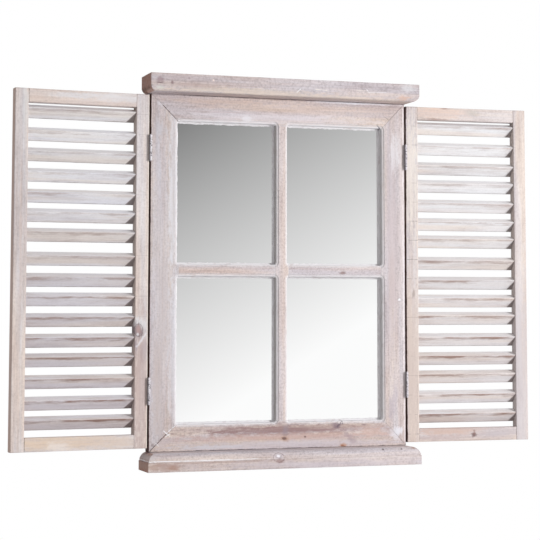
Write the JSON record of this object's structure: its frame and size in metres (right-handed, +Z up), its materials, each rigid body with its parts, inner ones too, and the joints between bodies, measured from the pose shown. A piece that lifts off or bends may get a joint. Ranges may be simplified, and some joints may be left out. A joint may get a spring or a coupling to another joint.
{
  "type": "shutter mirror",
  "caption": "Whitewashed pine wall mirror made like a window, with glazing bars, a cornice, a sill and louvred shutters on butt hinges.",
  "frame": {"origin": "half-way between the two keyholes, on the plane of the wall", "axes": "+X to the viewer's right, along the cornice; +Y into the wall; +Z up"},
  "size_m": [1.0666, 0.076, 0.758],
  "materials": {
    "frame_wood": "pine with a thin, worn whitewash",
    "board_wood": "pine with a thin, worn whitewash",
    "left_shutter_wood": "pine with a thin, worn whitewash",
    "right_shutter_wood": "pine with a thicker, paler whitewash",
    "mirror_glass": "silvered float glass",
    "back_board": "bare plywood",
    "zinc_steel": "zinc plated",
    "hinge_steel": "steel, whitewashed over with the wood"
  },
  "bodies": {
    "frame": {"frame_left_stile": "frame_wood", "frame_right_stile": "frame_wood", "frame_top_rail": "frame_wood", "frame_bottom_rail": "frame_wood", "vertical_bar": "frame_wood", "horizontal_bar": "frame_wood", "cornice": "board_wood", "sill": "board_wood", "mirror_glass": "mirror_glass", "back_board": "back_board", "hanger_plates": "zinc_steel", "back_screws": "zinc_steel", "frame_hinge_screws": "hinge_steel", "left_hinge_frame_leaves": "hinge_steel", "right_hinge_frame_leaves": "hinge_steel", "hinge_pins": "hinge_steel"},
    "left_shutter": {"left_outer_stile": "left_shutter_wood", "left_hinge_stile": "left_shutter_wood", "left_top_rail": "left_shutter_wood", "left_bottom_rail": "left_shutter_wood", "left_slat_01": "left_shutter_wood", "left_slat_02": "left_shutter_wood", "left_slat_03": "left_shutter_wood", "left_slat_04": "left_shutter_wood", "left_slat_05": "left_shutter_wood", "left_slat_06": "left_shutter_wood", "left_slat_07": "left_shutter_wood", "left_slat_08": "left_shutter_wood", "left_slat_09": "left_shutter_wood", "left_slat_10": "left_shutter_wood", "left_slat_11": "left_shutter_wood", "left_slat_12": "left_shutter_wood", "left_slat_13": "left_shutter_wood", "left_slat_14": "left_shutter_wood", "left_slat_15": "left_shutter_wood", "left_slat_16": "left_shutter_wood", "left_hinge_shutter_leaves": "hinge_steel", "left_hinge_screws": "hinge_steel"},
    "right_shutter": {"right_outer_stile": "right_shutter_wood", "right_hinge_stile": "right_shutter_wood", "right_top_rail": "right_shutter_wood", "right_bottom_rail": "right_shutter_wood", "right_slat_01": "right_shutter_wood", "right_slat_02": "right_shutter_wood", "right_slat_03": "right_shutter_wood", "right_slat_04": "right_shutter_wood", "right_slat_05": "right_shutter_wood", "right_slat_06": "right_shutter_wood", "right_slat_07": "right_shutter_wood", "right_slat_08": "right_shutter_wood", "right_slat_09": "right_shutter_wood", "right_slat_10": "right_shutter_wood", "right_slat_11": "right_shutter_wood", "right_slat_12": "right_shutter_wood", "right_slat_13": "right_shutter_wood", "right_slat_14": "right_shutter_wood", "right_slat_15": "right_shutter_wood", "right_slat_16": "right_shutter_wood", "right_hinge_shutter_leaves": "hinge_steel", "right_hinge_screws": "hinge_steel"}
  },
  "joints": [
    {"name": "left_shutter_swing", "type": "hinge", "parent": "frame", "child": "left_shutter", "pos_m": [-0.2665, -0.0296, -0.28], "axis": [0, 0, 1], "range_deg": [-4.5, 175.5]},
    {"name": "right_shutter_swing", "type": "hinge", "parent": "frame", "child": "right_shutter", "pos_m": [0.2665, -0.0296, -0.28], "axis": [0, 0, -1], "range_deg": [-2.5, 177.5]}
  ]
}
